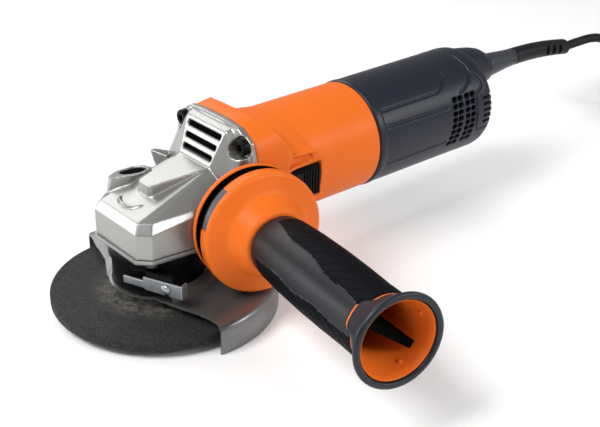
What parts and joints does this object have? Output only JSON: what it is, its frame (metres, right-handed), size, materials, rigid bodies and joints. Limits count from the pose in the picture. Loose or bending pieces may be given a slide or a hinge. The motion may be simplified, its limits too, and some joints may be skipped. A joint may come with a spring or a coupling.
{
  "type": "angle grinder",
  "caption": "Corded angle grinder with a 125 mm disc, half guard, faceted cast gear head, orange motor housing and a side handle.",
  "frame": {"origin": "centre of the spindle's end face, in the plane of the disc's working edge", "axes": "-Z out of the spindle's end, +X back along the motor to the cord, -Y towards the side handle"},
  "size_m": [0.6072, 0.257, 0.1061],
  "materials": {
    "cast_aluminium": "satin die-cast",
    "bright_steel": "ground",
    "guard_steel": "satin pressed sheet",
    "dark_steel": "blackened",
    "brass": "bright",
    "abrasive": "coarse resin bonded grit",
    "orange_plastic": "satin",
    "charcoal_plastic": "satin",
    "black_plastic": "matt",
    "grip_rubber": "soft grip",
    "grey_plastic": "satin",
    "copper": "enamelled copper wire",
    "black_rubber": "matt",
    "carbon": "matt"
  },
  "bodies": {
    "tool_body": {"gear_housing": "cast_aluminium", "bearing_cover": "cast_aluminium", "spindle_bearing": "bright_steel", "front_bearing": "bright_steel", "rear_bearing": "bright_steel", "lever_rivet": "bright_steel", "handle_bolt": "bright_steel", "lock_spring": "bright_steel", "cover_screw_1": "dark_steel", "cover_screw_2": "dark_steel", "cover_screw_3": "dark_steel", "cover_screw_4": "dark_steel", "stator_core": "dark_steel", "upper_bush": "brass", "plug_pins": "brass", "motor_housing": "orange_plastic", "handle_base_ring": "orange_plastic", "handle_core": "orange_plastic", "rear_cover": "charcoal_plastic", "handle_bumper": "charcoal_plastic", "guard_neck": "black_plastic", "housing_screw_1": "black_plastic", "housing_screw_2": "black_plastic", "housing_screw_3": "black_plastic", "housing_screw_4": "black_plastic", "air_baffle": "black_plastic", "switch_unit": "black_plastic", "cord_clamp": "black_plastic", "upper_brush_holder": "black_plastic", "lower_brush_holder": "black_plastic", "handle_grip": "grip_rubber", "handle_spacer": "grey_plastic", "cord_guard_stub": "grey_plastic", "upper_field_coil": "copper", "lower_field_coil": "copper", "handle_damper": "black_rubber", "rear_bearing_sleeve": "black_rubber", "cord_guard_boot": "black_rubber", "cord_lead": "black_rubber", "cord_coil": "black_rubber", "mains_plug": "black_rubber", "upper_carbon_brush": "carbon", "lower_carbon_brush": "carbon"},
    "spindle_set": {"spindle": "bright_steel", "crown_gear": "dark_steel", "inner_flange": "dark_steel", "grinding_disc": "abrasive", "clamp_nut": "dark_steel"},
    "armature": {"armature_shaft": "bright_steel", "pinion_gear": "dark_steel", "armature_core": "dark_steel", "front_winding": "copper", "rear_winding": "copper", "commutator": "copper", "fan": "black_plastic"},
    "guard": {"guard": "guard_steel"},
    "guard_lever": {"guard_lever": "bright_steel"},
    "lock_button": {"lock_button": "black_plastic"},
    "switch": {"switch_slider": "black_plastic"},
    "stored_key": {"stored_key": "black_plastic"}
  },
  "joints": [
    {"name": "spindle_spin", "type": "hinge", "parent": "tool_body", "child": "spindle_set", "pos_m": [0, 0, 0], "axis": [0, 0, 1], "continuous": true},
    {"name": "armature_spin", "type": "hinge", "parent": "tool_body", "child": "armature", "pos_m": [0, 0, 0.0608], "axis": [1, 0, 0], "continuous": true},
    {"name": "guard_turn", "type": "hinge", "parent": "tool_body", "child": "guard", "pos_m": [0, 0, 0.0165], "axis": [0, 0, 1], "range_deg": [-90, 90]},
    {"name": "lever_rock", "type": "hinge", "parent": "tool_body", "child": "guard_lever", "pos_m": [-0.01573, -0.03258, 0.024], "axis": [-0.9203, -0.3911, 0], "range_deg": [-5, 5], "stiffness_Nm_per_rad": 0.8},
    {"name": "lock_press", "type": "slide", "parent": "tool_body", "child": "lock_button", "axis": [0, 0, -1], "range_m": [0, 0.004], "stiffness_N_per_m": 500, "springref_m": -0.002, "deforming": ["lock_spring"]},
    {"name": "switch_slide", "type": "slide", "parent": "tool_body", "child": "switch", "axis": [-1, 0, 0], "range_m": [0, 0.0065]},
    {"name": "key_pull", "type": "slide", "parent": "tool_body", "child": "stored_key", "axis": [-0.1821, -0.9824, 0.0429], "range_m": [0, 0.055]}
  ],
  "couplings": [
    {"joint": "armature_spin", "follows": "spindle_spin", "ratio": 3}
  ]
}
